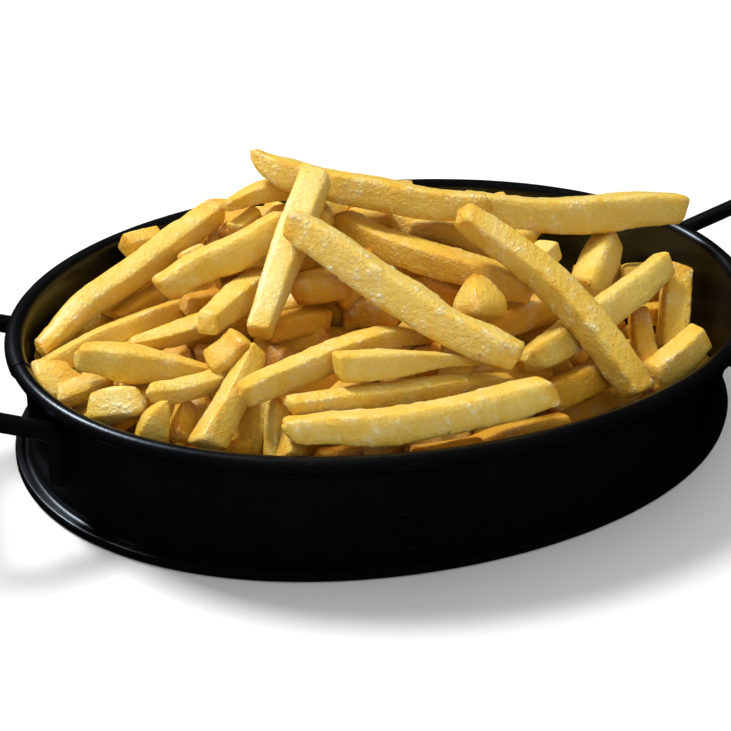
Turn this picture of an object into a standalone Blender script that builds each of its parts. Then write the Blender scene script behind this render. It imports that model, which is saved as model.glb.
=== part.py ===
# Portion of french fries heaped in an oval black serving tin with two wire
# handles.  Metres, +Z up.  The origin is the centre of the tin's flat
# underside, +X runs along the tin's long axis (through the handles) and +Y is
# the back.
import math

import bmesh
import bpy
from mathutils import Matrix, Vector

for old in list(bpy.data.objects):
    bpy.data.objects.remove(old, do_unlink=True)

MM = 0.001
GAP = 0.3 * MM              # air left between pieces that touch

# ---- tin -------------------------------------------------------------------
RIM_A = 112.3 * MM          # half length of the rim roll's centre line
RIM_B = 70.7 * MM           # half width of the rim roll's centre line
FULLNESS = 0.0113           # the oval is slightly fuller than an ellipse
TIN_H = 40.6 * MM           # top of the rolled rim
ROLL_R = 2.7 * MM           # radius of the rolled rim
SHEET = 0.8 * MM            # sheet metal thickness
HEM_H = 3.0 * MM            # height of the crimped hem round the base
COVE_R = 1.7 * MM           # cove where the wall turns out into the hem
OVAL_N = 72                 # facets round the oval

# ---- wire handles ----------------------------------------------------------
WIRE_R = 2.6 * MM
HANDLE_Y = 24.7 * MM        # half distance between a handle's two legs
HANDLE_Z = 30.9 * MM        # height at which the legs leave the wall
LEG_FOOT = 13.0 * MM        # lower end of the leg welded to the wall
HANDLE_TILT = math.radians(22.0)
HANDLE_REACH = 36.0 * MM    # how far the loop stands out from the wall
HANDLE_SPLAY = -0.068       # the arms draw together slightly
BEND_LEG = 5.0 * MM         # radius of the bend from leg to arm
BEND_LOOP = 13.0 * MM       # radius of the loop's two outer corners
WIRE_N = 10                 # facets round the wire

# ---- heap of fries ---------------------------------------------------------
FRY_W = 9.5 * MM            # usual width of one fry
HEAP_EDGE = 25.0 * MM       # height of the fries along the wall
HEAP_TOP = 50.0 * MM        # height of the packed middle of the heap
HEAP_PEAK = (-10.0 * MM, 4.0 * MM)
HEAP_SLOPE = 1.1            # steepness of the packed fries under a raised one


def oval(t, offset=0.0):
    """Point on the tin's oval, pushed outward by offset."""
    def centre(u):
        s = 1.0 + FULLNESS * math.sin(2.0 * u) ** 2
        return Vector((RIM_A * math.cos(u) * s, RIM_B * math.sin(u) * s))
    p = centre(t)
    d = centre(t + 1e-4) - centre(t - 1e-4)
    n = Vector((d.y, -d.x)).normalized()
    return p + n * offset


def material(name, colour, rough, metal):
    m = bpy.data.materials.new(name)
    m.use_nodes = True
    b = m.node_tree.nodes["Principled BSDF"]
    b.inputs["Base Color"].default_value = (*colour, 1.0)
    b.inputs["Roughness"].default_value = rough
    b.inputs["Metallic"].default_value = metal
    return m


def add_object(name, mesh, colour, rough, metal, smooth=30.0):
    ob = bpy.data.objects.new(name, mesh)
    bpy.context.scene.collection.objects.link(ob)
    mesh.materials.clear()
    mesh.materials.append(material(name + "_finish", colour, rough, metal))
    if smooth:
        mesh.shade_smooth()
        mesh.set_sharp_from_angle(angle=math.radians(smooth))
    return ob


def mesh_from(bm, name):
    bmesh.ops.recalc_face_normals(bm, faces=bm.faces)
    me = bpy.data.meshes.new(name)
    bm.to_mesh(me)
    bm.free()
    return me


def sweep_oval(profile, closed, name):
    """Carry a profile of (offset, height) points round the oval.

    A closed profile gives a ring.  An open one is filled across at its two
    ends, which gives a dish with a flat floor.
    """
    bm = bmesh.new()
    rows = []
    for i in range(OVAL_N):
        t = 2.0 * math.pi * i / OVAL_N
        row = []
        for off, z in profile:
            p = oval(t, off)
            row.append(bm.verts.new((p.x, p.y, z)))
        rows.append(row)
    n = len(profile)
    for i in range(OVAL_N):
        a, b = rows[i], rows[(i + 1) % OVAL_N]
        for j in range(n if closed else n - 1):
            k = (j + 1) % n
            bm.faces.new((a[j], b[j], b[k], a[k]))
    if not closed:
        bm.faces.new([r[0] for r in rows])
        bm.faces.new([r[-1] for r in reversed(rows)])
    return mesh_from(bm, name)


# ---- the wall, with its rolled rim and turned-out foot ----------------------
wall_in = -ROLL_R
wall_out = wall_in + SHEET
roll_z = TIN_H - ROLL_R
foot_lo = SHEET + GAP                     # the foot lies inside the base's hem
foot_hi = foot_lo + SHEET
foot_end = ROLL_R - SHEET - GAP
wall = [(wall_in, foot_lo), (wall_in, roll_z)]
for deg in range(150, -136, -30):         # round the roll, inside to outside
    a = math.radians(deg)
    wall.append((ROLL_R * math.cos(a), roll_z + ROLL_R * math.sin(a)))
wall.append((wall_out, roll_z - math.sqrt(ROLL_R ** 2 - wall_out ** 2)))
for deg in (0, 30, 60, 90):               # the cove
    a = math.radians(deg)
    wall.append((wall_out + COVE_R * (1 - math.cos(a)),
                 foot_hi + COVE_R * (1 - math.sin(a))))
wall += [(foot_end, foot_hi), (foot_end, foot_lo)]
add_object("tin_wall", sweep_oval(wall, True, "tin_wall"),
           (0.012, 0.012, 0.014), 0.42, 0.3)

# ---- the base plate, its edge folded up and over the wall's foot -----------
lip_end = wall_out + COVE_R + 2 * GAP
hem_lo = foot_hi + GAP
base = [(ROLL_R - 0.5 * MM, 0.0), (ROLL_R, 0.5 * MM),
        (ROLL_R, HEM_H - 0.5 * MM), (ROLL_R - 0.5 * MM, HEM_H),
        (lip_end, HEM_H), (lip_end, hem_lo), (foot_end + GAP, hem_lo),
        (foot_end + GAP, SHEET)]
add_object("tin_base", sweep_oval(base, False, "tin_base"),
           (0.012, 0.012, 0.014), 0.42, 0.3)


# ---- handles ----------------------------------------------------------------
def round_corner(p, q, r, radius, steps):
    """Points of an arc that rounds the corner q of the path p-q-r."""
    u, v = (p - q).normalized(), (r - q).normalized()
    half = 0.5 * u.angle(v)
    cut = radius / math.tan(half)
    centre = q + (u + v).normalized() * (radius / math.sin(half))
    a, b = q + u * cut - centre, q + v * cut - centre
    sweep = a.angle(b)
    return [centre + (a * math.sin((1 - s / steps) * sweep)
                      + b * math.sin(s / steps * sweep)) / math.sin(sweep)
            for s in range(steps + 1)]


def handle_path(side):
    """Centre line of one handle's wire, from weld to weld."""
    t = math.asin(HANDLE_Y / RIM_B)
    foot = oval(t, wall_out + GAP + WIRE_R)
    arm = HANDLE_REACH - WIRE_R - (foot.x - RIM_A)
    out = Vector((1.0, HANDLE_SPLAY, math.tan(HANDLE_TILT)))
    leg_lo = Vector((foot.x, foot.y, LEG_FOOT))
    leg_hi = Vector((foot.x, foot.y, HANDLE_Z))
    tip = leg_hi + out * arm
    flip = Vector((1.0, -1.0, 1.0))
    corner = [leg_lo, leg_hi, tip, tip * flip, leg_hi * flip, leg_lo * flip]
    pts = [corner[0]]
    for k, (radius, steps) in enumerate(((BEND_LEG, 3), (BEND_LOOP, 5),
                                         (BEND_LOOP, 5), (BEND_LEG, 3))):
        pts += round_corner(corner[k], corner[k + 1], corner[k + 2],
                            radius, steps)
    pts.append(corner[-1])
    return [Vector((side * p.x, p.y, p.z)) for p in pts]


def tube(points, radius, name):
    """Round wire along a path, its ends domed by one smaller ring."""
    bm = bmesh.new()
    tangents = []
    for i in range(len(points)):
        a = points[max(i - 1, 0)]
        b = points[min(i + 1, len(points) - 1)]
        tangents.append((b - a).normalized())
    normal = tangents[0].orthogonal().normalized()
    stations = []
    for i, p in enumerate(points):
        t = tangents[i]
        normal = (normal - t * normal.dot(t)).normalized()
        stations.append((p, t, normal.copy(), radius))
    first, last = stations[0], stations[-1]
    dome = 0.45 * radius
    stations[0] = (first[0] + first[1] * dome, *first[1:])
    stations[-1] = (last[0] - last[1] * dome, *last[1:])
    stations.insert(0, (first[0], first[1], first[2], 0.6 * radius))
    stations.append((last[0], last[1], last[2], 0.6 * radius))
    rings = []
    for p, t, nrm, r in stations:
        side = t.cross(nrm)
        ring = []
        for k in range(WIRE_N):
            a = 2.0 * math.pi * k / WIRE_N
            ring.append(bm.verts.new(p + (nrm * math.cos(a)
                                          + side * math.sin(a)) * r))
        rings.append(ring)
    for a, b in zip(rings, rings[1:]):
        for k in range(WIRE_N):
            m = (k + 1) % WIRE_N
            bm.faces.new((a[k], a[m], b[m], b[k]))
    bm.faces.new(rings[0])
    bm.faces.new(rings[-1])
    return mesh_from(bm, name)


for label, side in (("handle_right", 1.0), ("handle_left", -1.0)):
    add_object(label, tube(handle_path(side), WIRE_R, label),
               (0.014, 0.014, 0.016), 0.38, 0.3)


# ---- the heap: a packed middle and the fries that stand out of it ----------
# Fries that stand out of the heap: the two ends and the width in millimetres,
# and how far each is carried down into the heap.
FRIES = (
    # top of the heap
    ((-20, 21, 72), (-49, -17, 48), 10.5, 6),
    ((-35, 41, 72), (26, 2, 66), 9.5, 6),
    ((-37, 0, 70), (12, -50, 49), 10.5, 6),
    ((12, -8, 72), (55, -55, 32), 10.5, 6),
    ((-13, 25, 54), (30, -20, 50), 10.5, 6),
    ((10, -30, 51), (15, -15, 58), 10.0, 5),
    ((29, 19, 56), (102, 10, 52), 10.5, 6),
    ((40, 8, 51), (57, -1, 45), 9.5, 5),
    # left end
    ((-104, 13, 34), (-46, 43, 51), 10.5, 6),
    ((-107, 0, 33), (-62, 15, 37), 8.5, 6),
    ((-97, -13, 44), (-59, -18, 35), 10.5, 6),
    ((-81, -3, 37), (-58, -1, 41), 8.5, 5),
    ((-71, 8, 48), (-33, 19, 58), 10.5, 6),
    ((-64, -18, 53), (-41, 13, 43), 10.0, 6),
    ((-83, -31, 42), (-62, -25, 38), 9.0, 6),
    ((-72, -42, 34), (-51, -25, 48), 9.5, 6),
    # front
    ((-61, -39, 46), (-3, -29, 43), 9.0, 6),
    ((-36, -41, 50), (8, -37, 43), 9.0, 6),
    ((-50, -47, 43), (20, -36, 33), 9.0, 6),
    ((-54, -54, 42), (17, -58, 46), 9.5, 6),
    ((-53, -52, 32), (-46, -35, 39), 8.5, 5),
    ((-15, -60, 31), (21, -61, 35), 8.0, 5),
    # right end
    ((24, -37, 39), (84, -9, 46), 10.5, 6),
    ((77, 14, 43), (60, -6, 37), 10.0, 6),
    ((94, -4, 38), (81, -26, 26), 9.5, 5),
    ((63, -47, 32), (81, -40, 41), 10.0, 6),
    ((22, -47, 28), (49, -40, 32), 9.5, 5),
    ((17, -57, 32), (56, -46, 27), 9.0, 5),
    ((14, -24, 42), (44, -14, 40), 9.5, 5),
    # between the upper ones
    ((-4, -3, 50), (19, -7, 43), 9.0, 5),
    ((-33, -2, 49), (-20, -10, 52), 9.0, 5),
    ((-43, -9, 42), (-4, -6, 42), 9.0, 5),
)

# Fries on the back slope: they lie across it in turn, this many of them.
BACK_FRIES = 9
BACK_LENGTH = 62.0


def back_fries():
    rows = []
    for k in range(BACK_FRIES):
        u = (k + 0.5) / BACK_FRIES
        x = -74.0 + 148.0 * u
        lean = (38.0, -24.0, 61.0)[k % 3]
        half = 0.5 * BACK_LENGTH * (0.8, 1.0, 0.7)[k % 3]
        y = 0.62 * RIM_B / MM * math.sqrt(1 - (x * MM / RIM_A) ** 2) - 6.0
        z = 45.0 - 0.0011 * x * x - 2.5 * (k % 2)
        dx = half * math.cos(math.radians(lean))
        dy = -0.5 * half * math.sin(math.radians(lean))
        rows.append(((x - dx, y - dy, z + 0.75 * dy),
                     (x + dx, y + dy, z - 0.75 * dy), FRY_W / MM, 5))
    return tuple(rows)

def heap_height(x, y):
    """Height of the packed middle: it falls towards the wall, and it rises
    under each fry that lies on it, with a slope of fries to either side."""
    dx = (x - HEAP_PEAK[0]) / (RIM_A - 4 * MM)
    dy = (y - HEAP_PEAK[1]) / (RIM_B - 4 * MM)
    swell = 0.5 + 0.5 * math.cos(math.pi * min(1.0, math.hypot(dx, dy)))
    height = HEAP_EDGE + (HEAP_TOP - HEAP_EDGE) * swell
    for a, b, w, sink in FRIES + back_fries():
        ax, ay, az = (c * MM for c in a)
        bx, by, bz = (c * MM for c in b)
        run = (bx - ax) ** 2 + (by - ay) ** 2
        u = ((x - ax) * (bx - ax) + (y - ay) * (by - ay)) / run
        u = min(1.0, max(0.0, u))
        away = math.hypot(x - ax - u * (bx - ax), y - ay - u * (by - ay))
        under = az + u * (bz - az) - 0.45 * w * MM
        height = max(height, under - HEAP_SLOPE * away)
    lumps = 1.4 * MM * math.sin(x / (9 * MM)) * math.cos(y / (8 * MM))
    return height + lumps


def packed_middle():
    bm = bmesh.new()
    z0 = SHEET + GAP
    clear = wall_in - GAP
    seg, rings = 44, 10
    rows = []
    for r in range(1, rings + 1):
        row = []
        for i in range(seg):
            p = oval(2.0 * math.pi * i / seg, clear) * (r / rings)
            row.append(bm.verts.new((p.x, p.y, heap_height(p.x, p.y))))
        rows.append(row)
    low = [bm.verts.new((v.co.x, v.co.y, z0)) for v in rows[-1]]
    rows.append(low)
    peak = bm.verts.new((0, 0, heap_height(0, 0)))
    for i in range(seg):
        bm.faces.new((peak, rows[0][i], rows[0][(i + 1) % seg]))
    for a, b in zip(rows, rows[1:]):
        for i in range(seg):
            k = (i + 1) % seg
            bm.faces.new((a[i], b[i], b[k], a[k]))
    bm.faces.new(list(reversed(low)))
    bmesh.ops.triangulate(bm, faces=bm.faces)
    return mesh_from(bm, "packed_middle")


def fry_bar(a, b, width, sink):
    """A square bar from a to b, carried down into the heap by sink."""
    a, b = Vector(a) * MM, Vector(b) * MM
    d = b - a
    side = d.cross(Vector((0, 0, 1))).normalized()
    up = side.cross(d).normalized()
    w = 0.5 * width * MM
    m = Matrix((d.normalized(), side, up)).transposed().to_4x4()
    m.translation = 0.5 * (a + b)
    bm = bmesh.new()
    bmesh.ops.create_cube(bm, size=1.0)
    bmesh.ops.scale(bm, vec=(d.length, 2 * w, 2 * w), verts=bm.verts)
    upper = [e for e in bm.edges if all(v.co.z > 0 for v in e.verts)]
    for v in bm.verts:
        if v.co.z < 0:
            v.co.z -= sink * MM
    bmesh.ops.bevel(bm, geom=upper, offset=1.4 * MM, segments=1,
                    affect="EDGES")
    bmesh.ops.triangulate(bm, faces=bm.faces)
    bmesh.ops.transform(bm, matrix=m, verts=bm.verts)
    return mesh_from(bm, "fry_bar")


def helper(name, mesh):
    ob = bpy.data.objects.new(name, mesh)
    bpy.context.scene.collection.objects.link(ob)
    ob.hide_render = True
    ob.display_type = "WIRE"
    return ob


def combined(ob, other, operation):
    """Mesh of ob after an exact Boolean with other."""
    mod = ob.modifiers.new(operation.lower(), "BOOLEAN")
    mod.operation = operation
    mod.solver = "EXACT"
    mod.object = other
    graph = bpy.context.evaluated_depsgraph_get()
    mesh = bpy.data.meshes.new_from_object(ob.evaluated_get(graph))
    ob.modifiers.remove(mod)
    return mesh


def tidy(mesh):
    """Keep the outer body, drop closed pockets, and dissolve flat edges."""
    bm = bmesh.new()
    bm.from_mesh(mesh)
    left, bodies = set(bm.verts), []
    while left:
        stack, body = [next(iter(left))], set()
        while stack:
            v = stack.pop()
            if v in body:
                continue
            body.add(v)
            stack += [e.other_vert(v) for e in v.link_edges]
        left -= body
        bodies.append(body)
    bodies.sort(key=len)
    for body in bodies[:-1]:
        bmesh.ops.delete(bm, geom=list(body), context="VERTS")
    bmesh.ops.dissolve_limit(bm, angle_limit=math.radians(0.5),
                             verts=bm.verts, edges=bm.edges)
    bmesh.ops.triangulate(bm, faces=bm.faces)
    return mesh_from(bm, "fries_heap")


def inside_tin():
    """The room inside the wall, widened above the rim."""
    clear = wall_in - GAP
    over = TIN_H + GAP
    steps = ((clear, 0.0), (clear, over), (30 * MM, over), (30 * MM, 0.12))
    bm = bmesh.new()
    rows = [[bm.verts.new((*oval(2 * math.pi * i / OVAL_N, off), z))
             for i in range(OVAL_N)] for off, z in steps]
    for a, b in zip(rows, rows[1:]):
        for i in range(OVAL_N):
            k = (i + 1) % OVAL_N
            bm.faces.new((a[i], a[k], b[k], b[i]))
    bm.faces.new(list(reversed(rows[0])))
    bm.faces.new(rows[-1])
    return mesh_from(bm, "inside_tin")


work = helper("heap_work", packed_middle())
for a, b, w, sink in FRIES + back_fries():
    bar = helper("bar_work", fry_bar(a, b, w, sink))
    work.data = combined(work, bar, "UNION")
    bpy.data.objects.remove(bar, do_unlink=True)
room = helper("room_work", inside_tin())
heap_mesh = tidy(combined(work, room, "INTERSECT"))
for ob in (work, room):
    bpy.data.objects.remove(ob, do_unlink=True)
add_object("fries_heap", heap_mesh, (0.80, 0.52, 0.13), 0.55, 0.0)
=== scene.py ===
# Looks for the oval tin of french fries: real fries over a smaller core, the
# painted sheet-metal tin with its rolled rim, crimped hem and seam, and the
# wire handles.  Metres, +Z up, in the CAD model's frame.
import math

import bmesh
import bpy
import numpy as np
from mathutils import Matrix, Vector, noise


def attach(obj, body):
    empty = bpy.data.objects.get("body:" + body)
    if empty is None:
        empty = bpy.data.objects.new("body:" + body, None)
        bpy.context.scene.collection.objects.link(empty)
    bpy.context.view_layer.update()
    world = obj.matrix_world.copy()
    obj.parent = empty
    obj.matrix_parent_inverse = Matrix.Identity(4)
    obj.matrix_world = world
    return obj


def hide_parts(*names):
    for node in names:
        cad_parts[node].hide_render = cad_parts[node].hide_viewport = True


MM = 0.001
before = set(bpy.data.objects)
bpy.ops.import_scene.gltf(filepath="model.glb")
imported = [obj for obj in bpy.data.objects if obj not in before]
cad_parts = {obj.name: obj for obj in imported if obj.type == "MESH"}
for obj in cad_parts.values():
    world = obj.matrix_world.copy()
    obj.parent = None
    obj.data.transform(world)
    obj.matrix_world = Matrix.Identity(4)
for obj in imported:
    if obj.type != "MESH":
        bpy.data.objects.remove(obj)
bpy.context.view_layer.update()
scene = bpy.context.scene


# ============================================================ small helpers
def new_object(name, verts, faces, smooth=True):
    me = bpy.data.meshes.new(name)
    me.from_pydata([tuple(v) for v in verts], [], faces)
    me.validate()
    me.update()
    if smooth:
        me.shade_smooth()
    ob = bpy.data.objects.new(name, me)
    scene.collection.objects.link(ob)
    return ob


def face_outward(ob):
    bm = bmesh.new()
    bm.from_mesh(ob.data)
    bmesh.ops.recalc_face_normals(bm, faces=bm.faces)
    bm.to_mesh(ob.data)
    bm.free()


class Nodes:
    """Short way of writing a node tree."""

    def __init__(self, name):
        self.mat = bpy.data.materials.new(name)
        self.mat.use_nodes = True
        self.t = self.mat.node_tree
        self.t.nodes.clear()
        self.out = self.t.nodes.new("ShaderNodeOutputMaterial")
        self.bsdf = self.t.nodes.new("ShaderNodeBsdfPrincipled")
        self.t.links.new(self.bsdf.outputs[0], self.out.inputs[0])

    def node(self, kind, **props):
        n = self.t.nodes.new(kind)
        for k, v in props.items():
            setattr(n, k, v)
        return n

    def link(self, a, b):
        self.t.links.new(a, b)

    def put(self, socket, value):
        if hasattr(value, "is_output") or hasattr(value, "links"):
            self.link(value, socket)
        else:
            socket.default_value = value

    def math(self, op, a, b=0.0, c=0.0, clamp=False):
        n = self.node("ShaderNodeMath", operation=op, use_clamp=clamp)
        for s, v in zip(n.inputs, (a, b, c)):
            self.put(s, v)
        return n.outputs[0]

    def noise(self, vec, scale, detail=2.0, rough=0.5, distort=0.0):
        n = self.node("ShaderNodeTexNoise")
        self.put(n.inputs["Vector"], vec)
        n.inputs["Scale"].default_value = scale
        n.inputs["Detail"].default_value = detail
        n.inputs["Roughness"].default_value = rough
        n.inputs["Distortion"].default_value = distort
        return n.outputs["Fac"]

    def ramp(self, fac, stops, interp="LINEAR"):
        n = self.node("ShaderNodeValToRGB")
        n.color_ramp.interpolation = interp
        e = n.color_ramp.elements
        while len(e) < len(stops):
            e.new(0.5)
        for el, (p, c) in zip(e, stops):
            el.position = p
            el.color = (*c, 1.0) if len(c) == 3 else c
        self.put(n.inputs[0], fac)
        return n.outputs[0]

    def span(self, value, a, b, lo=0.0, hi=1.0):
        n = self.node("ShaderNodeMapRange", clamp=True)
        self.put(n.inputs[0], value)
        for s, v in zip(list(n.inputs)[1:5], (a, b, lo, hi)):
            s.default_value = v
        return n.outputs[0]

    def mix(self, fac, a, b, blend="MIX"):
        n = self.node("ShaderNodeMix", data_type="RGBA", blend_type=blend)
        self.put(n.inputs[0], fac)
        for s, v in zip((n.inputs[6], n.inputs[7]), (a, b)):
            self.put(s, (*v, 1.0) if isinstance(v, tuple) and len(v) == 3 else v)
        return n.outputs[2]

    def bump(self, height, strength, distance, normal=None):
        n = self.node("ShaderNodeBump")
        n.inputs["Strength"].default_value = strength
        n.inputs["Distance"].default_value = distance
        self.put(n.inputs["Height"], height)
        if normal is not None:
            self.link(normal, n.inputs["Normal"])
        return n.outputs[0]


# ================================================================ materials
def fried_potato():
    m = Nodes("fried_potato_look")
    look = m.node("ShaderNodeAttribute", attribute_name="look")
    sep = m.node("ShaderNodeSeparateColor")
    m.link(look.outputs["Color"], sep.inputs[0])
    tone, edge, tip = sep.outputs[0], sep.outputs[1], sep.outputs[2]
    blister = look.outputs["Alpha"]
    along = m.node("ShaderNodeUVMap", uv_map="along").outputs[0]
    place = m.node("ShaderNodeTexCoord").outputs["Object"]

    # tone: 0 pale cream, 0.5 golden, 1 orange-brown; besides each fry's own browning it carries painted shade for the
    # lower fries and the core
    patches = m.noise(place, 95.0, 3.0, 0.55)
    fibre_map = m.node("ShaderNodeMapping")
    m.link(along, fibre_map.inputs["Vector"])
    fibre_map.inputs["Scale"].default_value = (70.0, 620.0, 1.0)
    fibres = m.noise(fibre_map.outputs[0], 1.0, 3.0, 0.6, 0.6)
    grain = m.noise(place, 2300.0, 2.0, 0.60)
    crumbs = m.noise(place, 900.0, 4.0, 0.68, 0.2)
    t = m.math("ADD", tone, m.math("MULTIPLY", m.math("SUBTRACT", patches, 0.5), 0.42))
    t = m.math("ADD", t, m.math("MULTIPLY", m.math("SUBTRACT", fibres, 0.5), 0.07))
    t = m.math("ADD", t, m.math("MULTIPLY", m.math("SUBTRACT", crumbs, 0.5), 0.40))
    worn = m.math("MULTIPLY", edge, m.span(m.noise(place, 210.0, 2.0), 0.42, 0.66))
    t = m.math("ADD", t, m.math("MULTIPLY", worn, 0.16))
    t = m.math("ADD", t, m.math("MULTIPLY", tip,
               m.span(m.noise(place, 160.0, 2.0), 0.35, 0.7, 0.02, 0.34)), clamp=True)
    colour = m.ramp(t, (
        (0.00, (0.945, 0.785, 0.340)),
        (0.20, (0.905, 0.665, 0.150)),
        (0.40, (0.860, 0.545, 0.062)),
        (0.60, (0.800, 0.415, 0.026)),
        (0.82, (0.650, 0.255, 0.013)),
        (1.00, (0.360, 0.100, 0.010))))
    # starchy, slightly raised blisters
    cells = m.node("ShaderNodeTexVoronoi", feature="SMOOTH_F1")
    m.link(place, cells.inputs["Vector"])
    cells.inputs["Scale"].default_value = 640.0
    cells.inputs["Smoothness"].default_value = 0.35
    bubbles = m.span(cells.outputs["Distance"], 0.08, 0.62, 1.0, 0.0)
    where = m.span(m.noise(place, 120.0, 2.0, 0.55), 0.50, 0.70)
    rim_of_face = m.math("MULTIPLY", m.math("ADD", m.math("MULTIPLY", edge, 0.60), 0.40), where)
    starch = m.math("ADD", m.math("MULTIPLY", blister, 0.85), m.math("MULTIPLY", rim_of_face, 0.62))
    frost = m.math("MULTIPLY", starch, m.span(crumbs, 0.34, 0.64, 0.30, 1.0), clamp=True)
    starch = m.math("MULTIPLY", starch, m.span(bubbles, 0.30, 0.80, 0.0, 1.0), clamp=True)
    colour = m.mix(frost, colour, (0.940, 0.800, 0.400))
    colour = m.mix(starch, colour, (0.970, 0.905, 0.660))
    # scattered browned specks
    specks = m.span(m.noise(place, 330.0, 2.0, 0.5), 0.735, 0.80)
    colour = m.mix(m.math("MULTIPLY", specks, 0.55), colour, (0.340, 0.115, 0.015))
    m.link(colour, m.bsdf.inputs["Base Color"])
    rough = m.span(m.math("ADD", m.math("MULTIPLY", patches, 0.6),
                          m.math("MULTIPLY", starch, 0.5)), 0.2, 0.9, 0.40, 0.66)
    m.link(rough, m.bsdf.inputs["Roughness"])
    b = m.bsdf.inputs
    b["Subsurface Weight"].default_value = 0.28
    b["Subsurface Radius"].default_value = (1.0, 0.62, 0.20)
    b["Subsurface Scale"].default_value = 0.0022
    b["Specular IOR Level"].default_value = 0.42
    b["Coat Weight"].default_value = 0.24
    b["Coat Roughness"].default_value = 0.27
    h = m.math("ADD", m.math("MULTIPLY", crumbs, 0.42), m.math("MULTIPLY", grain, 0.46))
    h = m.math("ADD", h, m.math("MULTIPLY", fibres, 0.05))
    h = m.math("ADD", h, m.math("MULTIPLY", bubbles, m.math("ADD", m.math("MULTIPLY", starch, 0.55), 0.16)))
    m.link(m.bump(h, 1.0, 0.00100), m.bsdf.inputs["Normal"])
    return m.mat


def black_paint(name, base, residue_and_reflection_tint, orange_peel=0.5):
    """Satin black paint on sheet metal: faint brown residue, fine orange peel
    and short rubbed marks.  On the inside wall the warm colour is painted
    reflection of the fries."""
    m = Nodes(name)
    place = m.node("ShaderNodeTexCoord").outputs["Object"]
    broad = m.noise(place, 32.0, 3.0, 0.6)
    fine = m.noise(place, 1900.0, 2.0, 0.5)
    peel = m.noise(place, 620.0, 2.0, 0.5)
    stretched = m.node("ShaderNodeMapping")
    m.link(place, stretched.inputs["Vector"])
    stretched.inputs["Scale"].default_value = (60.0, 75.0, 900.0)
    brushed = m.noise(stretched.outputs[0], 1.0, 3.0, 0.6)
    scratch_map = m.node("ShaderNodeMapping")
    m.link(place, scratch_map.inputs["Vector"])
    scratch_map.inputs["Rotation"].default_value = (0.4, 0.9, 0.6)
    scratch_map.inputs["Scale"].default_value = (90.0, 1500.0, 1500.0)
    marks = m.span(m.noise(scratch_map.outputs[0], 1.0, 1.0), 0.70, 0.78)
    colour = m.mix(m.span(broad, 0.35, 0.75), base, residue_and_reflection_tint)
    colour = m.mix(m.math("MULTIPLY", marks, 0.35), colour, (0.022, 0.022, 0.024))
    specks = m.span(m.noise(place, 820.0, 1.0), 0.76, 0.80)
    colour = m.mix(m.math("MULTIPLY", specks, 0.4), colour, (0.030, 0.028, 0.027))
    m.link(colour, m.bsdf.inputs["Base Color"])
    rough = m.span(m.math("ADD", m.math("MULTIPLY", broad, 0.6),
                          m.math("MULTIPLY", brushed, 0.4)), 0.25, 0.75, 0.24, 0.36)
    rough = m.math("ADD", rough, m.math("MULTIPLY", marks, 0.12))
    m.link(rough, m.bsdf.inputs["Roughness"])
    m.bsdf.inputs["Metallic"].default_value = 0.0
    m.bsdf.inputs["Specular IOR Level"].default_value = 0.50
    m.bsdf.inputs["Specular Tint"].default_value = (0.70, 0.84, 1.0, 1.0)
    h = m.math("ADD", m.math("MULTIPLY", peel, 0.8), m.math("MULTIPLY", fine, 0.2))
    m.link(m.bump(h, orange_peel, 0.00010), m.bsdf.inputs["Normal"])
    return m.mat


def floor_material():
    m = Nodes("studio_floor")
    place = m.node("ShaderNodeTexCoord").outputs["Object"]
    c = m.ramp(m.noise(place, 14.0, 2.0), ((0.3, (0.86, 0.86, 0.86)),
                                           (0.7, (0.90, 0.90, 0.90))))
    m.link(c, m.bsdf.inputs["Base Color"])
    m.bsdf.inputs["Roughness"].default_value = 0.9
    m.bsdf.inputs["Specular IOR Level"].default_value = 0.0
    return m.mat


POTATO = fried_potato()
PAINT = black_paint("tin_paint", (0.0020, 0.0020, 0.0026), (0.0036, 0.0032, 0.0032))
# a lighter, warmer copy of the paint for the inside wall: painted reflection of the fries
PAINT_INSIDE_WITH_REFLECTION = black_paint("tin_paint_inside_painted_reflection", (0.0050, 0.0040, 0.0034), (0.0120, 0.0080, 0.0052))
WIRE = black_paint("wire_paint", (0.0022, 0.0022, 0.0028), (0.0040, 0.0036, 0.0036), 0.35)

# ================================================================== the tin
RIM_A, RIM_B = 112.3 * MM, 70.7 * MM
FULLNESS = 0.0113
TIN_H, ROLL_R = 40.6 * MM, 2.7 * MM
SHEET, HEM_H, COVE_R = 0.8 * MM, 3.0 * MM, 1.7 * MM
AIR = 0.3 * MM
AROUND = 360
wall_in, roll_z = -ROLL_R, TIN_H - ROLL_R
wall_out = wall_in + SHEET
foot_lo = SHEET + AIR
foot_hi = foot_lo + SHEET
foot_end = ROLL_R - SHEET - AIR


def oval(t, offset=0.0):
    def centre(u):
        s = 1.0 + FULLNESS * math.sin(2.0 * u) ** 2
        return Vector((RIM_A * math.cos(u) * s, RIM_B * math.sin(u) * s))
    p = centre(t)
    d = centre(t + 1e-4) - centre(t - 1e-4)
    return p + Vector((d.y, -d.x)).normalized() * offset


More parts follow.
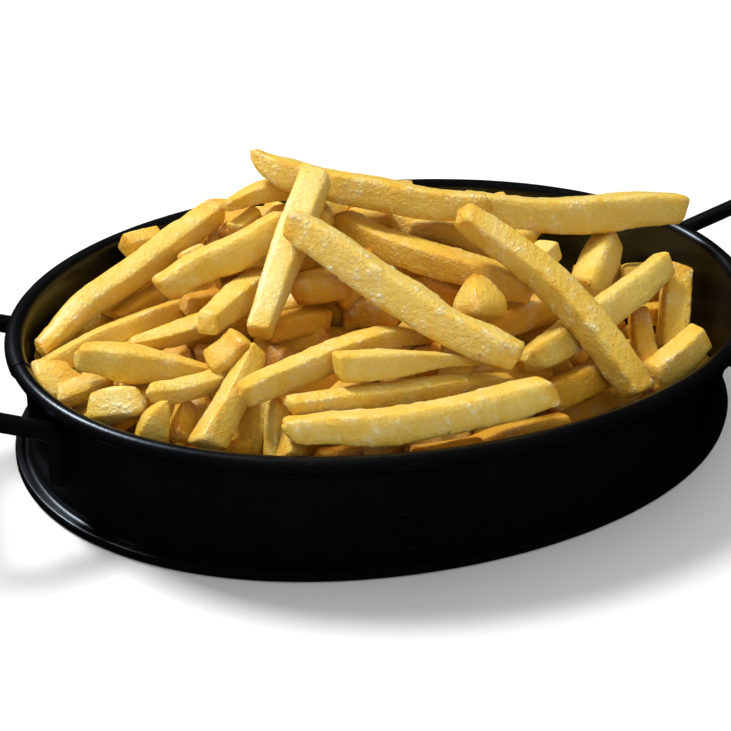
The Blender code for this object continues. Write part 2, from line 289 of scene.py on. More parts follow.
def ring(name, profile, n=AROUND, closed=True, start=0.0, stop=2.0 * math.pi,
         wobble=0.0):
    """Carry a closed profile of (offset, height) round the oval, or along a
    part of it with its two ends filled."""
    whole = abs(stop - start - 2.0 * math.pi) < 1e-6
    verts, faces = [], []
    steps = n if whole else n + 1
    for i in range(steps):
        t = start + (stop - start) * i / n
        rows = profile(t) if callable(profile) else profile
        for off, z in rows:
            p = oval(t, off)
            q = Vector((p.x, p.y, z))
            if wobble:
                q.z -= wobble * (0.5 + 0.5 * noise.noise(Vector((p.x, p.y, 0.0)) * 60.0))
            verts.append(q)
    k = len(rows)
    for i in range(n):
        a, b = i * k, ((i + 1) % steps) * k
        for j in range(k):
            c = (j + 1) % k
            faces.append((a + j, b + j, b + c, a + c))
    if not whole:
        faces.append(tuple(range(k - 1, -1, -1)))
        faces.append(tuple((steps - 1) * k + j for j in range(k)))
    ob = new_object(name, verts, faces)
    face_outward(ob)
    ob.data.set_sharp_from_angle(angle=math.radians(38.0))
    return ob


SLEEVE_FROM = math.radians(179.5)        # where the lapped curl of the rim ends
SLEEVE_TO = math.radians(184.5)


def wall_profile(t):
    """Wall with its rolled rim.  The roll is full behind the lap and a little
    slimmer beyond it."""
    a = t % (2.0 * math.pi)
    slim = 1.0
    if a > SLEEVE_FROM:
        slim = 0.84 + 0.16 * min(1.0, max(0.0, (a - math.radians(215.0)) / math.radians(80.0)))
        slim = min(slim, 1.0) if a > SLEEVE_TO else 0.84
    r = ROLL_R * slim
    zc = TIN_H - ROLL_R + (ROLL_R - r) * 0.2
    rows = [(wall_in, foot_lo)]
    for k in range(1, 9):                # the inner face, very slightly bellied
        u = k / 9.0
        rows.append((wall_in + 0.00012 * math.sin(math.pi * u) * math.sin(3.0 * t + 0.8),
                     foot_lo + (zc - foot_lo) * u))
    for deg in range(176, -137, -12):
        b = math.radians(deg)
        x = r * math.cos(b)
        rows.append((max(x, -ROLL_R), zc + r * math.sin(b)))
    rows.append((wall_out, zc - math.sqrt(max(r * r - wall_out ** 2, 1e-12))))
    for k in range(1, 8):
        u = 1.0 - k / 8.0
        lo = foot_hi + COVE_R
        hi = rows[9 + 27][1] if len(rows) > 36 else zc
        rows.append((wall_out, lo + (zc - r - lo) * u))
    for deg in range(0, 91, 15):
        b = math.radians(deg)
        rows.append((wall_out + COVE_R * (1 - math.cos(b)),
                     foot_hi + COVE_R * (1 - math.sin(b))))
    rows += [(foot_end, foot_hi), (foot_end, foot_lo)]
    return rows


wall = ring("tin_wall_sheet", wall_profile)
wall.data.materials.append(PAINT)
wall.data.materials.append(PAINT_INSIDE_WITH_REFLECTION)
for poly in wall.data.polygons:          # the inside gets a lighter, warmer copy of the paint: painted reflection of the fries
    c = poly.center
    r = (c.x / (RIM_A + wall_in)) ** 2 + (c.y / (RIM_B + wall_in)) ** 2
    if c.z < roll_z - 0.4 * ROLL_R and abs(r ** 0.5 - 1.0) < 0.02 \
            and poly.normal.x * c.x + poly.normal.y * c.y < 0:
        poly.material_index = 1
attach(wall, "root")
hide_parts("tin_wall")


def sleeve_profile(t):
    """The open end of the lapped curl, a thin shell round the slimmer roll."""
    rows = []
    for deg in range(170, -141, -10):
        b = math.radians(deg)
        rows.append((ROLL_R * math.cos(b), roll_z + ROLL_R * math.sin(b)))
    for deg in range(-140, 171, 10):
        b = math.radians(deg)
        rows.append((0.86 * ROLL_R * math.cos(b), roll_z + 0.86 * ROLL_R * math.sin(b)))
    return rows


sleeve = ring("rim_lap", sleeve_profile, 24, start=SLEEVE_FROM - math.radians(1.0),
              stop=SLEEVE_TO)
sleeve.data.materials.append(PAINT)
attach(sleeve, "root")

# the base plate with its rounded, crimped hem
hem = [(ROLL_R - 0.9 * MM, 0.0)]
for deg in range(-90, 1, 15):
    b = math.radians(deg)
    hem.append((ROLL_R - 0.7 * MM + 0.7 * MM * math.cos(b), 0.7 * MM + 0.7 * MM * math.sin(b)))
for deg in range(0, 91, 15):
    b = math.radians(deg)
    hem.append((ROLL_R - 0.9 * MM + 0.9 * MM * math.cos(b),
                HEM_H - 0.9 * MM + 0.9 * MM * math.sin(b)))
lip_end = wall_out + COVE_R + 2 * AIR
hem += [(lip_end + 0.35 * MM, HEM_H), (lip_end, HEM_H - 0.3 * MM), (lip_end, foot_hi + AIR),
        (foot_end + AIR, foot_hi + AIR), (foot_end + AIR, SHEET)]
verts, faces = [], []
rings = [hem]
k = len(hem)
for i in range(AROUND):
    t = 2.0 * math.pi * i / AROUND
    for off, z in hem:
        p = oval(t, off)
        verts.append(Vector((p.x, p.y, z)))
for i in range(AROUND):
    a, b = i * k, ((i + 1) % AROUND) * k
    for j in range(k - 1):
        faces.append((a + j, b + j, b + j + 1, a + j + 1))
lo_prev = [i * k for i in range(AROUND)]
hi_prev = [i * k + k - 1 for i in range(AROUND)]
for step in (0.90, 0.60, 0.30):          # the plate, top and bottom
    lo_new, hi_new = [], []
    for i in range(AROUND):
        t = 2.0 * math.pi * i / AROUND
        p = oval(t, 0.0) * step
        lo_new.append(len(verts)); verts.append(Vector((p.x, p.y, 0.0)))
        hi_new.append(len(verts)); verts.append(Vector((p.x, p.y, SHEET)))
    for i in range(AROUND):
        n2 = (i + 1) % AROUND
        faces.append((lo_prev[i], lo_prev[n2], lo_new[n2], lo_new[i]))
        faces.append((hi_prev[n2], hi_prev[i], hi_new[i], hi_new[n2]))
    lo_prev, hi_prev = lo_new, hi_new
faces.append(tuple(lo_prev))
faces.append(tuple(reversed(hi_prev)))
plate = new_object("tin_base_sheet", verts, faces)
face_outward(plate)
plate.data.set_sharp_from_angle(angle=math.radians(38.0))
plate.data.materials.append(PAINT)
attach(plate, "root")
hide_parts("tin_base")

# ------------------------------------------------------------------ handles
WIRE_R, HANDLE_Y, HANDLE_Z = 2.6 * MM, 24.7 * MM, 30.9 * MM
LEG_FOOT = 13.0 * MM
HANDLE_TILT, HANDLE_REACH, HANDLE_SPLAY = math.radians(22.0), 36.0 * MM, -0.068
BEND_LEG, BEND_LOOP = 5.0 * MM, 13.0 * MM


def round_corner(p, q, r, radius, steps):
    u, v = (p - q).normalized(), (r - q).normalized()
    half = 0.5 * u.angle(v)
    cut = radius / math.tan(half)
    centre = q + (u + v).normalized() * (radius / math.sin(half))
    a, b = q + u * cut - centre, q + v * cut - centre
    sweep = a.angle(b)
    return [centre + (a * math.sin((1 - s / steps) * sweep)
                      + b * math.sin(s / steps * sweep)) / math.sin(sweep)
            for s in range(steps + 1)]


def handle_path(side):
    t = math.asin(HANDLE_Y / RIM_B)
    foot = oval(t, wall_out + AIR + WIRE_R)
    arm = HANDLE_REACH - WIRE_R - (foot.x - RIM_A)
    out = Vector((1.0, HANDLE_SPLAY, math.tan(HANDLE_TILT)))
    leg_lo = Vector((foot.x, foot.y, LEG_FOOT))
    leg_hi = Vector((foot.x, foot.y, HANDLE_Z))
    tip = leg_hi + out * arm
    flip = Vector((1.0, -1.0, 1.0))
    corner = [leg_lo, leg_hi, tip, tip * flip, leg_hi * flip, leg_lo * flip]
    pts = [corner[0]]
    for k, (radius, steps) in enumerate(((BEND_LEG, 10), (BEND_LOOP, 16),
                                         (BEND_LOOP, 16), (BEND_LEG, 10))):
        arc = round_corner(corner[k], corner[k + 1], corner[k + 2], radius, steps)
        last = pts[-1]
        gap = (arc[0] - last).length
        for j in range(1, int(gap / (3.0 * MM))):
            pts.append(last.lerp(arc[0], j / int(gap / (3.0 * MM))))
        pts += arc
    last = pts[-1]
    for j in range(1, 6):
        pts.append(last.lerp(corner[-1], j / 5))
    return [Vector((side * p.x, p.y, p.z)) for p in pts]


def wire_handle(name, side):
    path = handle_path(side)
    n = 28
    verts, faces = [], []
    tangents = [(path[min(i + 1, len(path) - 1)] - path[max(i - 1, 0)]).normalized()
                for i in range(len(path))]
    normal = tangents[0].orthogonal().normalized()
    stations = []
    for p, t in zip(path, tangents):
        normal = (normal - t * normal.dot(t)).normalized()
        stations.append((p, t, normal.copy(), WIRE_R))
    caps = []
    for j in range(4, 0, -1):            # domed, dressed ends
        b = math.radians(90.0 * j / 5)
        caps.append((math.sin(b) * 0.9, math.cos(b)))
    p, t, nn, r = stations[0]
    head = [(p - t * r * s + t * 0.9 * r, t, nn, r * c) for s, c in caps]
    p, t, nn, r = stations[-1]
    tail = [(p + t * r * s - t * 0.9 * r, t, nn, r * c) for s, c in reversed(caps)]
    stations = head + [(stations[0][0] + stations[0][1] * 0.9 * WIRE_R, *stations[0][1:])] \
        + stations[2:-2] + [(stations[-1][0] - stations[-1][1] * 0.9 * WIRE_R,
                             *stations[-1][1:])] + tail
    for p, t, nn, r in stations:
        s = t.cross(nn)
        for q in range(n):
            a = 2.0 * math.pi * q / n
            verts.append(p + (nn * math.cos(a) + s * math.sin(a)) * r)
    for i in range(len(stations) - 1):
        for q in range(n):
            m = (q + 1) % n
            faces.append((i * n + q, i * n + m, (i + 1) * n + m, (i + 1) * n + q))
    faces.append(tuple(range(n - 1, -1, -1)))
    faces.append(tuple((len(stations) - 1) * n + q for q in range(n)))
    ob = new_object(name, verts, faces)
    face_outward(ob)
    ob.data.set_sharp_from_angle(angle=math.radians(50.0))
    ob.data.materials.append(WIRE)
    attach(ob, "root")
    return ob


right_wire = wire_handle("wire_right", 1.0)
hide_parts("handle_right")
left_wire = wire_handle("wire_left", -1.0)
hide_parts("handle_left")

# ================================================================ the fries
# One row a fry: points along its middle with its thickness there (mm), the
# roll of its lightest face (degrees), its tone (0 cream, 1 golden, 2 brown;
# the browner tones are partly painted shade, given to fries that sit in shadow),
# how its two ends are finished (b cut, r rounded, p pointed) and how
# blistered it is.
FRIES = [
    (((-105, 8, 33, 5.9), (-90, 19, 39.5, 7.3), (-75.5, 26.5, 43, 7.9), (-61, 34, 47.5, 8), (-45, 42.5, 52, 7.4)), 6, 0.8, "bb", 0.5),
    (((-73, 46, 41.5, 6), (-61.5, 52, 39, 6.2)), 15, 0.8, "bb", 0.2),
    (((-106, 0, 32.5, 5.7), (-88.5, 8, 34.5, 6.1), (-74.5, 12.5, 35.5, 5.9), (-61.5, 17, 36, 5.1)), -29, 0.9, "bb", 0.2),
    (((-98, -12, 44.5, 6.1), (-92, -13.5, 44, 7.2), (-86.5, -15, 42.5, 9.1), (-79.5, -17, 41.5, 7.8), (-72, -18.5, 40.5, 5.4), (-60.5, -22, 38.5, 2)), -14, 0.9, "rp", 0.3),
    (((-82.5, -1.5, 38.5, 2.7), (-70.5, -1, 39, 5.5), (-58, 0, 41, 6)), 14, 0.6, "pb", 0.2),
    (((-103.5, -11.5, 31.5, 6.2), (-96.5, -11, 33, 6), (-88.5, -10, 34.5, 5.9)), 17, 0.6, "bb", 0.5),
    (((-97.5, -23, 34.5, 7), (-90, -25.5, 37, 7.7), (-84, -28, 38.5, 6.5)), 36, 0.25, "br", 0.9),
    (((-91.5, -23.5, 29, 5), (-79.5, -21, 35, 5)), -10, 1.4, "bb", 0),
    (((-84, -36.5, 33.5, 8.9), (-82.5, -37, 39, 6.8), (-80, -37, 44, 2)), -8, 0.8, "bp", 0.1),
    (((-77, -37.5, 31, 5.2), (-72, -26, 34.5, 4.6)), -47, 1.5, "bb", 0),
    (((-83, -30, 42.5, 4.3), (-76, -29.5, 41.5, 5.2), (-69, -28, 41, 5.1), (-62.5, -26.5, 41, 4.3)), 12, 0.4, "rr", 0.3),
    (((-72, -45.5, 34.5, 8.1), (-62.5, -36, 40.5, 7.1), (-53, -25, 47, 5.7)), -43, 0.7, "bb", 0.3),
    (((-62.5, -1.5, 31, 5.6), (-51.5, -10.5, 33, 5.6)), -12, 1.6, "bb", 0),
    (((-62, -42.5, 46.5, 5.3), (-55, -40, 47, 6.3), (-47.5, -37.5, 47, 6.5), (-32, -32.5, 47.5, 6.7), (-15.5, -28, 47, 5.1), (-2, -27, 43.5, 2.1)), -12, 0.9, "rb", 0.5),
    (((-21, 21.5, 72, 8.5), (-35, 2.5, 61.5, 8.4), (-50.5, -19.5, 48.5, 6.2)), 4, 0.2, "bb", 0.3),
    (((-35, 41, 71.5, 2.1), (-31.5, 37, 69, 5.8), (-27, 33, 67.5, 8), (-20.5, 28.5, 66.5, 8.4), (-13, 23.5, 66, 8.5), (-2.5, 17.5, 65.5, 9.1), (8, 11, 65, 8.6), (18.5, 5.5, 65.5, 7.8), (26, 2, 66.5, 6.5)), -18, 1.1, "pr", 0.5),
    (((-45, 33, 58.5, 2.7), (-33, 36.5, 60, 5.5), (-20.5, 38.5, 59.5, 6.5)), -10, 0.7, "bb", 0),
    (((-42.5, 30.5, 51, 5.1), (-34, 36.5, 53.5, 4.7)), -5, 0.5, "bb", 0),
    (((-33.5, 40, 49, 5.7), (-22.5, 34.5, 52, 5.6)), 18, 0.4, "bb", 0),
    (((-43.5, 35.5, 46.5, 5.2), (-35.5, 46, 48, 5.3)), -18, 1.5, "bb", 0.2),
    (((-70.5, 9, 48, 6.9), (-58.5, 12.5, 51.5, 8.4), (-45.5, 15, 54, 9.4), (-31, 20, 58.5, 7.7)), -26, 0.8, "bb", 0.5),
    (((-36.5, 0.5, 70, 7.1), (-27.5, -8.5, 66, 8.4), (-19, -18, 61, 8.8), (-10.5, -27, 57, 8.8), (-2, -36, 53, 8.3), (7, -43.5, 50.5, 8.3), (13.5, -48.5, 49, 6.5)), -20, 0.65, "rb", 0.9),
    (((-64, -16.5, 52, 5.7), (-52, -1, 47.5, 7.3), (-38, 15.5, 43, 8)), -9, 0.6, "bb", 0.6),
    (((-63, 11.5, 39.5, 5.6), (-51.5, 15, 38.5, 5.7)), -1, 1.4, "bb", 0),
    (((-13, 24, 55.5, 6.8), (-3.5, 11.5, 53, 8.1), (5, 2, 52.5, 8.9), (14, -7, 52.5, 8.8), (23, -16, 52.5, 8.3), (29.5, -23, 52, 7.4)), -10, 1, "rb", 0.4),
    (((11, -9, 72, 6.1), (20, -17.5, 66.5, 7.2), (29.5, -26.5, 60, 8.1), (38, -36.5, 52, 8.3), (44.5, -46, 43.5, 8.3), (50.5, -55, 34.5, 7.5)), 11, 0.95, "rb", 0.6),
    (((9, 17.5, 53, 3.7), (16.5, 10, 55, 5.4), (26, -3.5, 54, 3.6)), -8, 0.8, "bb", 0.1),
    (((-8, 26, 52.5, 5.8), (3.5, 20, 55, 5.8)), 17, 0.8, "bb", 0),
    (((28.5, 21.5, 56, 8), (46, 17.5, 53, 9.7), (59, 15, 52, 10.1), (72.5, 13.5, 52, 10.4), (86.5, 12.5, 52.5, 9.7), (101.5, 10, 52, 8.1)), -19, 0.75, "br", 0.5),
    (((50, 2.5, 49, 7.4), (30, -11, 46, 7.1)), 14, 0.4, "rb", 0),
    (((77.5, 12.5, 43, 8.1), (70, 5, 40.5, 9.7), (58, -8, 37, 9.6)), 34, 0.55, "rb", 0.1),
    (((20.5, -42, 41.5, 6.8), (29.5, -38, 41.5, 8.1), (40.5, -32.5, 42, 9), (56, -25, 43, 8.9), (70.5, -17.5, 44, 8.5), (84, -9.5, 45.5, 6.9)), -37, 0.55, "rb", 0.2),
    (((92, -6, 39, 8.2), (84.5, -19, 33, 8), (77, -31.5, 27, 7.9)), 76, 1.2, "bb", 0.2),
    (((59, -48, 32.5, 8.2), (69, -45.5, 37, 8.4), (78, -42, 41, 7.1)), -20, 0.9, "bb", 0.4),
    (((72, -17.5, 35, 5.6), (68, -28.5, 31, 6.7), (64.5, -39, 27, 7.7)), 86, 1.6, "rb", 0),
    (((77.5, -12, 28.5, 6), (89.5, -11, 27, 6.1)), -11, 1, "bb", 0),
    (((10.5, -30, 50, 11.5), (11.5, -25.5, 53, 10.5), (13, -18.5, 57, 3)), -62, 0.9, "rp", 0.1),
    (((12, -25, 42, 7.8), (33.5, -18, 41, 8.5), (46.5, -14.5, 40, 8.2)), -19, 1.4, "bb", 0),
    (((0, 12, 43, 7.8), (9.5, 2, 42, 8.2), (19.5, -9, 40, 7.7)), -11, 1.5, "bb", 0.1),
    (((-35.5, -1.5, 49, 7.3), (-28, -5.5, 51.5, 7.7), (-20, -10, 54, 6.4)), -7, 1.4, "bb", 0.2),
    (((-45, -9, 42, 6.6), (-35.5, -7.5, 41.5, 6.7), (-25.5, -6, 40.5, 6.8)), -13, 1.3, "bb", 0),
    (((-19.5, -2, 38, 8.2), (-4.5, -9, 42, 8.1)), -18, 1.1, "bb", 0.7),
    (((-36.5, -42, 50.5, 7), (-21, -41.5, 48.5, 6.4), (-6, -41, 46.5, 3.6), (6, -41, 44, 2)), -21, 0.55, "bp", 0.3),
    (((-51.5, -49.5, 46.5, 4), (-37, -48, 44, 5.2), (-19.5, -46, 41.5, 5.3), (-3.5, -44, 39.5, 5), (15.5, -42, 36.5, 3.2)), -4, 0.75, "bb", 0.5),
    (((-54, -55, 43.5, 6.3), (-43, -56.5, 43, 7.5), (-30, -58.5, 42, 9.2), (-16.5, -59.5, 42.5, 8.8), (-2.5, -60, 43.5, 9), (8.5, -60, 44.5, 9), (18, -60, 46, 7.6)), -22, 0.8, "rr", 0.7),
    (((-54.5, -50, 30, 5.1), (-51, -38.5, 39, 5)), -46, 0.6, "bb", 0.5),
    (((-52.5, -55.5, 34, 5.5), (-48.5, -48, 39, 5.2)), -49, 1, "bb", 0.2),
    (((-67.5, -41, 27.5, 5.8), (-53, -41, 29, 5.8)), -19, 1.6, "bb", 0),
    (((-48, -37.5, 29, 5.3), (-45.5, -33.5, 36, 5.3)), -61, 1.6, "bb", 0),
    (((-5, -58.5, 28.5, 4.9), (5.5, -58.5, 31, 5.3), (24.5, -60, 34, 4.5)), -21, 1.5, "bb", 0),
    (((-20.5, -58.5, 29.5, 5.6), (-11, -61, 31, 5.4), (-1.5, -63.5, 32.5, 5.2)), -17, 1.6, "bb", 0),
    (((-44, -51, 28, 5.4), (-32.5, -54.5, 30, 5.4)), -17, 1.6, "bb", 0),
    (((26, -45.5, 30, 8.5), (37.5, -43.5, 32, 8.3), (49.5, -42, 34.5, 8.2)), -30, 1.5, "bb", 0),
    (((27, -44, 20, 6.4), (43, -43.5, 23, 6.2), (59, -43.5, 26.5, 6)), -27, 1.5, "bb", 0),
    (((13.5, -38.5, 33.5, 5.6), (31.5, -36, 32.5, 5.7)), -17, 1.3, "bb", 0),
    (((-80.5, 20.5, 32, 5.7), (-64.5, 28.5, 35, 5.8)), -9, 1.5, "bb", 0),
]
# Fries between, under and behind the ones above: middle line, roll, tone.
FILL = [
    (((-97.5, -18, 24, 8.7), (-84, -13, 29.5, 8.9), (-71, -9.5, 35.5, 8.8)), -25, 0.9),
    (((-84, 27, 34, 9.5), (-66.5, 41, 33.5, 10), (-46.5, 55, 32.5, 9.6)), -16, 0.7),
    (((42, 49.5, 32, 8.4), (12.5, 55.5, 31, 8.6), (-16.5, 61, 31, 8.3)), -17, 0.9),
    (((-24.5, 15.5, 59, 9.2), (-11.5, 39, 49, 9.6), (3, 62.5, 38, 8.8)), 40, 0.6),
    (((83, -1.5, 25, 8.4), (77.5, 16.5, 16.5, 8.8), (72, 34.5, 8.5, 8.2)), -32, 0.9),
    (((3.5, -3, 42, 8.5), (-19.5, 18, 38, 9.3), (-41.5, 40.5, 33.5, 8.6)), 9, 0.6),
    (((58.5, -5.5, 28, 8.4), (37, 9, 41, 8.5), (15.5, 22.5, 54.5, 8.3)), 10, 0.7),
    (((23, 41, 36, 10.2), (5, 47.5, 30, 10.1), (-11.5, 53.5, 24, 9.3)), 0, 0.7),
    (((79.5, -3, 36, 7.9), (89, 10, 28, 8.6), (96, 22, 20, 7.5)), -13, 0.8),
    (((45, 7.5, 46.5, 8.8), (33, 36, 43.5, 9), (18.5, 61.5, 39.5, 8.8)), 15, 0.8),
    (((42, 26.5, 51, 8.5), (48.5, 40.5, 37, 9.1), (52.5, 54, 22.5, 8.1)), -19, 1.0),
    (((51.5, 17.5, 36, 9.6), (61, 29.5, 24.5, 9.2), (72.5, 42, 13, 8.6)), 40, 0.7),
    (((1, 16.5, 49, 8.3), (-13.5, 38, 35.5, 8.9), (-27, 59.5, 23, 8.5)), -32, 0.8),
    (((-50, 21.5, 39, 7.9), (-66.5, 26.5, 26.5, 8.6), (-82.5, 31, 14, 8.4)), -34, 0.5),
    (((-30, 6, 55, 8.4), (-28.5, 34, 43.5, 9.2), (-27, 60, 32, 9)), 0, 0.5),
    (((75.5, 6, 33.5, 8.2), (80.5, 21, 23, 8.5), (85.5, 34.5, 13.5, 7.9)), -1, 0.8),
    (((56, -28.5, 24, 10.4), (77, -22.5, 21, 10), (97, -18, 18, 9.1)), -33, 0.4),
    (((-24, 1, 43.5, 10.2), (-59.5, 11, 30, 9.9), (-96, 22.5, 17.5, 9.7)), -19, 0.6),
    (((45, 56, 29, 9.1), (20.5, 60.5, 25, 9.4), (-5, 62.5, 20.5, 8.2)), -6, 0.6),
    (((-74, 2, 33, 8.6), (-88.5, 5.5, 27.5, 8.4), (-101.5, 10.5, 22, 7.8)), 23, 0.7),
    (((-56.5, 23.5, 47, 8.7), (-55, 35, 33.5, 9), (-54, 48.5, 18.5, 7.8)), -20, 0.4),
    (((-78, -33.5, 8.5, 9.5), (-91, -15.5, 16.5, 10.1), (-103.5, 1.5, 23, 9.3)), -40, 0.6),
    (((53, -0.5, 23.5, 8.9), (57, 25, 15, 9.9), (61, 50.5, 6.5, 8.6)), -15, 0.7),
    (((49.5, -15, 29, 8.2), (22, 10, 42.5, 8.9), (-4.5, 34.5, 56, 8.5)), 23, 0.6),
    (((-68, -40.5, 13, 8.1), (-82.5, -33.5, 20, 8.5), (-95.5, -25.5, 25.5, 7.5)), 30, 0.8),
    (((18, 28.5, 36, 8.6), (40, 35.5, 29, 9.4), (64, 44, 21.5, 8.5)), -45, 1.0),
    (((-18, 22, 45.5, 8.8), (-19, 43, 41.5, 8.5), (-20.5, 61.5, 38, 7.8)), 31, 0.9),
    (((26, 26, 49.5, 9.3), (7.5, 38, 41, 9.4), (-12, 51, 33, 8.1)), 14, 0.4),
    (((9.5, 29, 58, 8.7), (9.5, 46.5, 47, 8.6), (11, 62.5, 36, 8)), 1, 0.7),
    (((70, -10.5, 25.5, 8.3), (67.5, 10, 20, 8.6), (66.5, 29.5, 14, 8.6)), -13, 1.0),
    (((-72, -23.5, 14, 8.4), (-84.5, -11, 20.5, 9.2), (-96, 1.5, 28.5, 8.7)), 0, 0.7),
    (((73.5, -16, 22.5, 8.5), (89.5, -1.5, 16.5, 8.4), (102.5, 12, 10.5, 7.6)), 35, 0.6),
    (((-17, 29.5, 36, 8), (-30.5, 43, 28, 8.7), (-42, 56, 20.5, 7.4)), -13, 1.0),
    (((6, 30, 31.5, 9.1), (24, 42.5, 24.5, 9.1), (41, 53, 16.5, 8.7)), -43, 1.3),
    (((-3, -61.5, 20, 9.2), (10, -49.5, 23, 10.1), (24.5, -37, 25, 9.1)), 2, 0.9),
    (((-69, -45.5, 21, 8.8), (-68.5, -20, 24.5, 8.9), (-68, 5, 28, 8.5)), -25, 1.3),
    (((-50.5, -54, 14.5, 7.9), (-24.5, -50, 15.5, 8.5), (3, -44.5, 17.5, 8.2)), -25, 1.2),
    (((-27.5, -41, 28.5, 7.7), (3.5, -33.5, 30.5, 8.5), (34, -28, 31, 7.5)), -21, 1.4),
    (((56, -19, 17.5, 10.1), (39.5, 0.5, 25, 10.1), (24.5, 20.5, 33, 8.9)), -1, 1.3),
    (((89.5, -5, 29.5, 8.8), (96, 7, 22.5, 9), (100, 17.5, 16, 8.1)), -18, 1.0),
    (((-59.5, -49, 20, 9.1), (-31.5, -34.5, 30.5, 8.7), (-3.5, -20.5, 41.5, 8.4)), -2, 1.0),
    (((42, -28, 22, 8.5), (32.5, -7, 39.5, 8.7), (22.5, 13.5, 57.5, 8.3)), -31, 1.1),
    (((-26, -58, 13, 9.9), (2, -53, 12.5, 9.3), (28.5, -48, 11.5, 9.2)), -16, 1.1),
    (((-51.5, -27.5, 30, 9.6), (-29.5, -20.5, 32.5, 9.5), (-8, -13.5, 34.5, 9.2)), -19, 1.2),
    (((-65.5, -47.5, 8, 8.9), (-39.5, -43.5, 7.5, 9.8), (-15, -39, 7, 8.7)), -8, 1.3),
    (((3, 29.5, 40.5, 9.7), (-9.5, 40.5, 26, 9.7), (-22, 51.5, 12.5, 9.1)), 14, 1.5),
    (((16.5, -61, 17, 9.9), (45, -49, 12, 9.4), (73, -34, 7, 9.1)), 0, 1.1),
    (((-76.5, -40.5, 25, 9), (-76, -22, 25.5, 8.9), (-76, -2, 25.5, 8.5)), 33, 1.1),
    (((-77, 39.5, 18.5, 9), (-55, 29.5, 26.5, 8.8), (-34.5, 21.5, 34, 8.1)), 32, 1.1),
    (((-98, 14, 29.5, 9.4), (-90.5, 28, 27.5, 10), (-80.5, 38.5, 25, 9.9)), -42, 1.2),
    (((49, 8.5, 29, 9.3), (48.5, 32.5, 19, 10), (48.5, 55, 9.5, 8.8)), -14, 1.2),
    (((-12, -61, 21, 9.3), (-14.5, -47, 31.5, 9.4), (-17, -34.5, 41.5, 9)), -23, 1.4),
    (((-29.5, 59.5, 13, 9.4), (0, 59, 12, 10.1), (29, 56.5, 11, 9.9)), -27, 1.0),
    (((68.5, -47, 10, 8.8), (82, -36, 8.5, 9.5), (95, -25.5, 7, 8.4)), 31, 1.3),
    (((84, 5.5, 10.5, 9.2), (89, 18.5, 14.5, 9), (91, 30.5, 18.5, 8.4)), -41, 1.0),
    (((33, 17.5, 38, 8.4), (50.5, 31.5, 33.5, 8.4), (67.5, 46.5, 30, 8.3)), -32, 1.4),
    (((-9, -33, 37.5, 9.8), (10.5, -21.5, 32.5, 9.7), (30.5, -11, 27, 9)), 22, 1.5),
    (((-5.5, -53.5, 24, 8.6), (-0.5, -40.5, 35.5, 8.8), (6, -26.5, 46, 7.7)), -4, 1.0),
    (((37.5, -39.5, 12, 8.4), (14, -36.5, 16.5, 8.5), (-10.5, -35, 21.5, 8.1)), 19, 1.1),
    (((-81.5, 38, 9, 8.7), (-55.5, 45.5, 8.5, 9.4), (-31.5, 54, 6.5, 9.2)), 2, 1.4),
    (((-43.5, -17, 25, 9.1), (-69.5, -0.5, 17, 9), (-94, 16.5, 10.5, 7.9)), 44, 1.4),
    (((-13.5, 21, 30, 9.7), (-38, 31, 23.5, 10), (-63, 39.5, 16, 9.3)), 1, 1.7),
    (((-77.5, -17.5, 7.5, 9.9), (-91, -10, 7.5, 9.6), (-103, -4, 7, 9.5)), 8, 1.3),
    (((11, 4, 33, 8.4), (24.5, 23.5, 22, 8.9), (38, 44.5, 10.5, 8.7)), 9, 1.4),
    (((76, -10.5, 10, 8.1), (90, -4.5, 8, 8.7), (102, 3, 6.5, 7.8)), -7, 1.6),
    (((70, -39.5, 15.5, 7.8), (65, -18.5, 14, 8.4), (60, 2.5, 13.5, 7.8)), 34, 1.6),
    (((-33.5, -30, 22.5, 9.5), (-12.5, -21, 25.5, 10.1), (7.5, -13.5, 29, 10.1)), 38, 1.2),
    (((15, -10, 33, 9.4), (28.5, 12.5, 20.5, 9.7), (42.5, 37, 7.5, 8.8)), -33, 1.6),
    (((-40, -37.5, 14, 8.9), (-13.5, -27.5, 17, 8.8), (14, -19, 21, 8.6)), -6, 1.3),
    (((1, 20, 38, 8.4), (-15.5, 34, 28, 8.8), (-31, 47, 17, 8.4)), -6, 1.6),
    (((70.5, -7, 14.5, 7.9), (78, 10, 10, 8.4), (83.5, 27, 5.5, 8.4)), -43, 1.3),
    (((-59, -22.5, 11, 9.7), (-73.5, -9.5, 15, 10), (-87.5, 3, 19, 9)), 35, 1.4),
    (((73, -24.5, 11, 9.9), (90, -14.5, 9, 9.6), (104, -4.5, 7, 8.7)), -18, 1.5),
    (((-40.5, -15.5, 33.5, 8.5), (-56.5, 9, 23, 8.7), (-70, 34.5, 13, 7.9)), -44, 1.5),
    (((-7.5, 5.5, 49, 8.3), (-25.5, 11.5, 40, 8.6), (-44.5, 16, 32, 7.7)), -20, 1.7),
    (((-14.5, -49.5, 6, 10.3), (10, -31, 11, 10.1), (34.5, -13.5, 16, 9.5)), 19, 1.5),
    (((-70, -36, 5.5, 9), (-62.5, -28, 16, 9.1), (-57, -21.5, 26, 8.3)), 45, 1.3),
    (((-66.5, 12, 18.5, 9.4), (-80, 20, 13.5, 9.3), (-92.5, 27, 9, 8.8)), -18, 1.6),
    (((7.5, 12, 36, 10.6), (16, 28, 21.5, 10), (23, 46, 7, 9.4)), 4, 1.6),
    (((-88, -33, 6.5, 8.9), (-97, -20, 10.5, 8.9), (-103.5, -5, 14.5, 8.8)), 4, 1.6),
    (((-3.5, -62.5, 9.5, 8.7), (14.5, -58, 7.5, 9.4), (32.5, -54, 6, 9.2)), 4, 1.6),
    (((-16, -7.5, 31, 9), (-30, 0.5, 28, 9.2), (-45, 8, 25, 8.9)), -42, 1.0),
